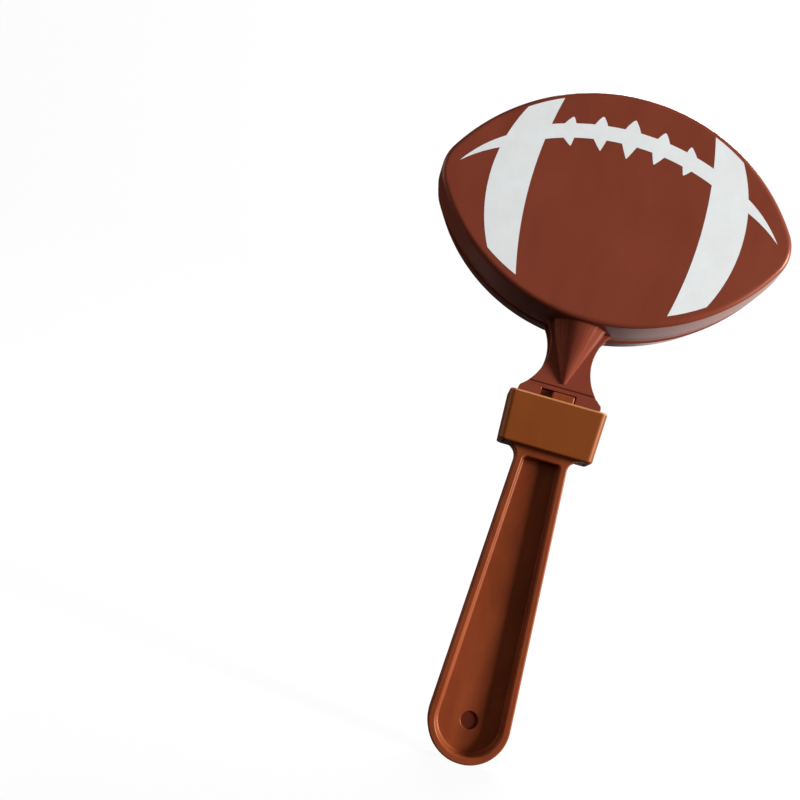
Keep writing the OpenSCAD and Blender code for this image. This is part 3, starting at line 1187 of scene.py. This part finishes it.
    def is_dimple_floor(self, face: BMFace) -> bool:
        """Tell whether a face is the floor of a dimple, where the ejector pin pressed; such faces take
        painted shade.
        """
        off = face.calc_center_median() - Vector((0, self.end_y, 0))
        return off.xy.length < self.dimple_radius and abs(off.z) < self.web / 2 - self.dimple_depth / 2

    def dress(self, plastic: Finish, mark: Finish) -> Object:
        """Make the frame moulding on its body, in plastic with painted shade, a darker brown, on the dimples'
        floors.
        """
        ride = Ride("frame_moulding", "frame", "frame_plastic", "frame")
        return ride.finish(self.mould(), [plastic, mark])


@dataclass(frozen=True)
class Lace:
    """Half of one lace, from the middle of the football: its two sides at the seam, and its tip."""

    left: float
    right: float
    tip: Step
    bow: float
    soft: float


@dataclass
class FootballPrint:
    """White ink on the front face: two stripes, a seam with five laces, and a tail outside each stripe."""

    football: Football
    face_z: float
    film: float = 0.04
    sunk: float = 0.03
    hair: float = 0.0004
    margin: float = 3.75
    lift: float = 0.75
    stripe_outer: Point = (43.3, 0.7, 56.5)
    stripe_inner: Point = (29.5, 1.5, 142.0)
    stripe_half: float = 38.0
    seam_axis: float = -0.95
    seam_upper: Step = (27.3, 78.0)
    seam_lower: Step = (22.15, 74.9)
    seam_half: float = 35.0
    lace_root: float = 1.6
    upper_laces: tuple[Lace, ...] = (
        Lace(-22.8, -19.1, (-20.45, 27.2), 0.12, 0.55),
        Lace(-12.9, -8.6, (-10.75, 29.9), 0.16, 0.6),
        Lace(-2.7, 2.7, (-0.05, 31.5), 0.2, 0.65),
        Lace(8.6, 12.9, (10.75, 29.8), 0.16, 0.6),
        Lace(19.1, 22.75, (20.2, 27.25), 0.12, 0.55),
    )
    lower_laces: tuple[Lace, ...] = (
        Lace(-21.9, -18.5, (-18.95, 16.6), 0.06, 0.35),
        Lace(-12.1, -7.8, (-8.95, 17.5), 0.06, 0.35),
        Lace(-2.5, 2.55, (0.1, 17.1), 0.06, 0.4),
        Lace(8.0, 12.3, (9.4, 17.6), 0.06, 0.35),
        Lace(18.9, 22.1, (19.75, 16.6), 0.06, 0.35),
    )
    tail_lower: Step = (42.85, 9.7)
    tail_upper: Step = (41.9, 14.3)
    tail_tip: Step = (54.4, 1.8)
    tail_bows: Step = (-0.55, 0.9)
    tail_roots: Step = (2.0, 1.5)
    tail_rise: float = 0.8
    arc_steps: int = 48
    inner_steps: int = 32
    lace_steps: int = 6
    tail_steps: int = 12

    def layer(self, bm: BMesh, place: int) -> BMesh:
        """Give a drawn outline the film's thickness.

        Args:
            bm: mesh with the outline.
            place: number of the outline; each is a hair taller than the last, so that no faces coincide.

        Returns:
            The closed solid.
        """
        close_outline(bm)
        bmesh.ops.translate(bm, verts=bm.verts[:], vec=(0, self.football.centre_y, 0))
        hair = self.hair * place
        return prism(bm, self.face_z - self.sunk - hair, self.face_z + self.film + hair)

    def mirrored(self, bm: BMesh) -> BMesh:
        """Turn a solid into its left-hand counterpart.

        Args:
            bm: the solid.

        Returns:
            The same mesh.
        """
        bmesh.ops.scale(bm, verts=bm.verts[:], vec=(-1, 1, 1))
        bmesh.ops.reverse_faces(bm, faces=bm.faces[:])
        return bm

    def stripe(self, place: int) -> BMesh:
        """Draw the right-hand stripe between its two arcs.

        Args:
            place: number of the outline.

        Returns:
            The closed solid.
        """
        (outer_x, outer_y, outer_r), (inner_x, inner_y, inner_r) = self.stripe_outer, self.stripe_inner
        half, outer_c, inner_c = self.stripe_half, outer_x - outer_r, inner_x - inner_r
        outer, inner = math.asin(half / outer_r), math.asin(half / inner_r)
        pen = Pen(outer_c + outer_r * math.cos(outer), outer_y - half)
        pen.arc((outer_c, outer_y), 2 * outer, self.arc_steps)
        pen.lines((inner_c + inner_r * math.cos(inner), inner_y + half))
        pen.arc((inner_c, inner_y), -2 * inner, self.inner_steps)
        pen.lines(pen.home)
        return self.layer(pen.bm, place)

    def seam_edge(self, arc: Step, x: float) -> float:
        """Give the height of the seam's upper or lower edge at a distance from its axis."""
        crest, radius = arc
        return crest - radius + math.sqrt(radius**2 - x**2)

    def seam(self, place: int) -> BMesh:
        """Draw the curved seam band from stripe to stripe.

        Args:
            place: number of the outline.

        Returns:
            The closed solid.
        """
        half, axis = self.seam_half, self.seam_axis
        (upper_y, upper_r), (lower_y, lower_r) = self.seam_upper, self.seam_lower
        pen = Pen(axis + half, self.seam_edge(self.seam_upper, half))
        pen.arc((axis, upper_y - upper_r), 2 * math.asin(half / upper_r), self.arc_steps)
        pen.lines((axis - half, self.seam_edge(self.seam_lower, half)))
        pen.arc((axis, lower_y - lower_r), -2 * math.asin(half / lower_r), self.arc_steps)
        pen.lines(pen.home)
        return self.layer(pen.bm, place)

    def lace(self, lace: Lace, upper: bool, place: int) -> BMesh:
        """Draw one lace's half above or below the seam, with a rounded tip.

        Args:
            lace: its sides and tip.
            upper: True for a half that points up.
            place: number of the outline.

        Returns:
            The closed solid.
        """
        axis, arc = self.seam_axis, self.seam_upper if upper else self.seam_lower
        near, far = (lace.right, lace.left) if upper else (lace.left, lace.right)
        root = -self.lace_root if upper else self.lace_root
        near_y, far_y = self.seam_edge(arc, near), self.seam_edge(arc, far)
        pen = Pen(axis + near, near_y + root)
        pen.lines((axis + near, near_y))
        tip = pen.bow((axis + lace.tip[0], lace.tip[1]), lace.bow, self.lace_steps)
        pen.bow((axis + far, far_y), lace.bow, self.lace_steps)
        pen.lines((axis + far, far_y + root), pen.home)
        bm = close_outline(pen.bm)
        round_off(bm, [tip], lace.soft, 5)
        bmesh.ops.delete(bm, geom=bm.faces[:], context="FACES_ONLY")
        return self.layer(bm, place)

    def tail(self, place: int) -> BMesh:
        """Draw the horn-shaped tail outside the right-hand stripe.

        Args:
            place: number of the outline.

        Returns:
            The closed solid.
        """
        corners = zip((self.tail_lower, self.tail_upper), self.tail_roots)
        lower, upper = ((x - root, y + self.tail_rise) for (x, y), root in corners)
        pen = Pen(*lower)
        pen.lines(self.tail_lower)
        pen.bow(self.tail_tip, self.tail_bows[0], self.tail_steps)
        pen.bow(self.tail_upper, self.tail_bows[1], self.tail_steps)
        pen.lines(upper, pen.home)
        return self.layer(pen.bm, place)

    def mould(self) -> BMesh:
        """Join every part of the print into one film and trim it to the face's border.

        Returns:
            The film.
        """
        parts = [self.stripe(0), self.mirrored(self.stripe(1)), self.seam(2)]
        parts += [self.tail(3), self.mirrored(self.tail(4))]
        for upper, laces in ((True, self.upper_laces), (False, self.lower_laces)):
            for lace in laces:
                parts.append(self.lace(lace, upper, len(parts)))
        face = self.football.draw(self.margin, lift=self.lift)
        border = prism(face, self.face_z - PAST, self.face_z + PAST)
        return combine(Operation.COMMON, combine(Operation.JOIN, *parts), border)

    def dress(self, ink: Finish) -> Object:
        """Make the print on the front clapper."""
        ride = Ride("front_print", "front_clapper", "print_ink")
        return ride.finish(self.mould(), [ink], broken=False)


def pull_sheet(bm: BMesh, width: float) -> BMesh:
    """Pull a drawn profile out into a sheet of the stage.

    Args:
        bm: mesh with the profile: depth and height in the drawing's X and Y, and its left end as Z.
        width: how far it is pulled out to the right.

    Returns:
        The sheet in the part's frame.
    """
    pulled = bmesh.ops.extrude_edge_only(bm, edges=bm.edges[:])["geom"]
    moved = [item for item in pulled if isinstance(item, BMVert)]
    bmesh.ops.translate(bm, verts=moved, vec=(0, 0, width))
    stand = Matrix(((0, 0, 1, 0), (1, 0, 0, 0), (0, 1, 0, 0), (0, 0, 0, 1)))
    bmesh.ops.transform(bm, matrix=stand, verts=bm.verts[:])
    for face in bm.faces:
        face.smooth = True
    return bm


def hide_black(sheet: Object) -> Object:
    """Make a sheet of the stage matt black, and keep it out of the camera's sight and out of the shadows.

    Args:
        sheet: the sheet.

    Returns:
        The same sheet.
    """
    sheet.data.materials.append(Finish(f"{sheet.name} flock", "#141414").build())
    sheet.visible_camera = False
    sheet.visible_shadow = False
    return sheet


@dataclass(frozen=True)
class Lamp:
    """One square soft box."""

    name: str
    place: Point
    aim: Point
    side: float
    watts: float
    colour: str = "#FFFFFF"

    def light(self) -> Object:
        """Hang the lamp and turn it to its aim.

        Returns:
            The lamp.
        """
        data = bpy.data.lights.new(self.name, "AREA")
        data.shape = "SQUARE"
        data.size = self.side
        data.energy = self.watts
        data.color = linear(self.colour)[:3]
        lamp = bpy.data.objects.new(self.name, data)
        away = Vector(self.place) - Vector(self.aim)
        turn = away.to_track_quat("Z", "Y").to_matrix().to_4x4()
        lamp.matrix_world = Matrix.Translation(self.place) @ turn
        bpy.context.scene.collection.objects.link(lamp)
        return lamp


@dataclass(frozen=True)
class BlackCard:
    """Card out of the camera's sight that keeps the paper's glow out of the clapper's dark edges."""

    name: str
    left: float
    right: float
    front: float
    back: float
    top: float

    def fold(self, floor_z: float) -> Object:
        """Lay the card on the floor and fold its back edge up.

        Args:
            floor_z: height that it lies at.

        Returns:
            The card.
        """
        pen = Pen(self.front, floor_z, self.left)
        pen.lines((self.back, floor_z), (self.back, self.top))
        return hide_black(as_object(self.name, pull_sheet(pen.bm, self.right - self.left)))


@dataclass(frozen=True)
class BlackHood:
    """Black box, open to the right, to the back and below, that only glossy reflections show."""

    left: float = -1.4
    right: float = 0.6
    front: float = -1.5
    back: float = 0.88
    top: float = 1.1

    def hang(self, floor_z: float) -> Object:
        """Hang the hood over the clapper.

        Args:
            floor_z: height of its lower edge.

        Returns:
            The hood.
        """
        bm = block((self.left, self.front, floor_z), (self.right, self.back, self.top))
        bm.normal_update()
        looks = [(face, face.normal) for face in bm.faces]
        opened = [face for face, n in looks if max(n.x, n.y, -n.z) > SQUARE_ON]
        bmesh.ops.delete(bm, geom=opened, context="FACES_ONLY")
        hood = hide_black(as_object("black_hood", bm))
        hood.visible_diffuse = False
        return hood


@dataclass
class Studio:
    """White paper sweep, soft boxes, a dim room and the camera of the photograph."""

    floor_z: float = -0.0527
    front: float = -1.6
    back: float = 0.9
    bend: float = 0.35
    bend_steps: int = 24
    half_width: float = 2.2
    height: float = 1.8
    room: float = 0.3
    white: float = 1.0
    card_lift: float = 0.0005
    cards: tuple[BlackCard, ...] = (
        BlackCard("left_card", -1.4, 0.02, 0.1, 0.6, 0.7),
        BlackCard("front_card", -1.4, 1.4, -1.5, 0.3, -0.045),
        BlackCard("rear_card", 0.02, 0.16, 0.45, 0.6, 0.15),
    )
    lamps: tuple[Lamp, ...] = (
        Lamp("key", (1.96, -0.84, 0.5), (0.0, 0.0, 0.09), 0.62, 90.0),
        Lamp("fill", (-1.3, -0.12, 0.25), (0.0, 0.0, 0.09), 1.0, 7.5),
        Lamp("rear", (0.1, 0.75, 0.9), (0.0, 0.0, 0.09), 0.5, 15.0),
        Lamp("low", (0.45, -0.17, -0.02), (0.0, 0.0, 0.085), 0.15, 0.8),
    )
    eye: Point = (-0.027136, -0.328128, 0.014785)
    look: Point = (-0.0742, 0.98941, 0.12478)
    up: Point = (-0.27653, -0.14063, 0.95066)
    lens_px: float = 964.05
    sight: Step = (0.01, 20.0)

    def sweep(self, paper: Finish) -> Object:
        """Draw the paper's profile and pull it out to its width.

        Args:
            paper: finish of the sweep.

        Returns:
            The floor and backdrop as one sheet.
        """
        bend_y = self.back - self.bend
        pen = Pen(self.front, self.floor_z, -self.half_width)
        pen.lines((bend_y, self.floor_z))
        pen.arc((bend_y, self.floor_z + self.bend), math.pi / 2, self.bend_steps)
        pen.lines((self.back, self.height))
        sheet = as_object("paper_sweep", pull_sheet(pen.bm, 2 * self.half_width))
        sheet.data.materials.append(paper.build())
        return sheet

    def dim_room(self) -> None:
        """Set the even light of the room, which gives little light and looks as white as the paper."""
        world = bpy.data.worlds.new("room")
        world.use_nodes = True
        tree = world.node_tree
        levels = {"To Min": self.room, "To Max": self.white}
        strength = add_node(tree, "MapRange", {"Value": looked_at(tree), **levels})
        tree.nodes["Background"].inputs["Color"].default_value = linear("#FFFFFF")
        tree.links.new(strength.outputs[0], tree.nodes["Background"].inputs["Strength"])
        bpy.context.scene.world = world

    def camera(self) -> Object:
        """Stand the camera where the photograph was taken from.

        Returns:
            The camera.
        """
        data = bpy.data.cameras.new("camera")
        data.sensor_width = SENSOR_MM
        data.lens = self.lens_px / PICTURE_SIDE * SENSOR_MM
        data.clip_start, data.clip_end = self.sight
        camera = bpy.data.objects.new("camera", data)
        look = Vector(self.look).normalized()
        right = look.cross(Vector(self.up)).normalized()
        turn = Matrix((right, right.cross(look), -look)).transposed().to_4x4()
        camera.matrix_world = Matrix.Translation(self.eye) @ turn
        bpy.context.scene.collection.objects.link(camera)
        bpy.context.scene.camera = camera
        return camera

    def set_up(self) -> None:
        """Hang the paper and the lamps, dim the room and stand the camera."""
        self.sweep(StudioPaper())
        for card in self.cards:
            card.fold(self.floor_z + self.card_lift)
        BlackHood().hang(self.floor_z)
        self.dim_room()
        for lamp in self.lamps:
            lamp.light()
        self.camera()
        bpy.context.scene.view_settings.view_transform = "Standard"


def main() -> None:
    """Build and dress every piece, then light it."""
    logging.basicConfig(level=logging.INFO, format="%(name)s: %(message)s")
    football, hinge, sleeve = Football(), Hinge(), Sleeve()
    shell = ClapperShell(football, hinge)
    frame = GripFrame(football, hinge, sleeve)
    red_brown = MouldedPlastic("red-brown polypropylene, moulded", "#7D3B2B", "#743525", 0.29)
    tan_brown = MouldedPlastic("tan-brown polypropylene, moulded", "#7E401A", "#753916", 0.43)
    chestnut = MouldedPlastic("chestnut polypropylene, moulded", "#8C4325", "#6F3019", 0.38)
    # The dimples' floors: a darker brown that is painted shade, standing in for the shade of a deeper hole.
    dimple_painted_shade = MouldedPlastic("chestnut polypropylene, painted dimple shade", "#64281A", "#592214", 0.42)
    # The sleeve's upper lips: a paler brown that is a painted highlight.
    painted_lip_highlight = MouldedPlastic("tan-brown polypropylene, painted lip highlight", "#C48355", "#B07044", 0.42)
    frame.dress(chestnut, dimple_painted_shade)
    sleeve.dress(tan_brown, painted_lip_highlight)
    for side in Side:
        shell.dress(side, red_brown)
    FootballPrint(football, shell.face_z).dress(ScreenInk())
    Studio().set_up()


if __name__ == "__main__":
    main()
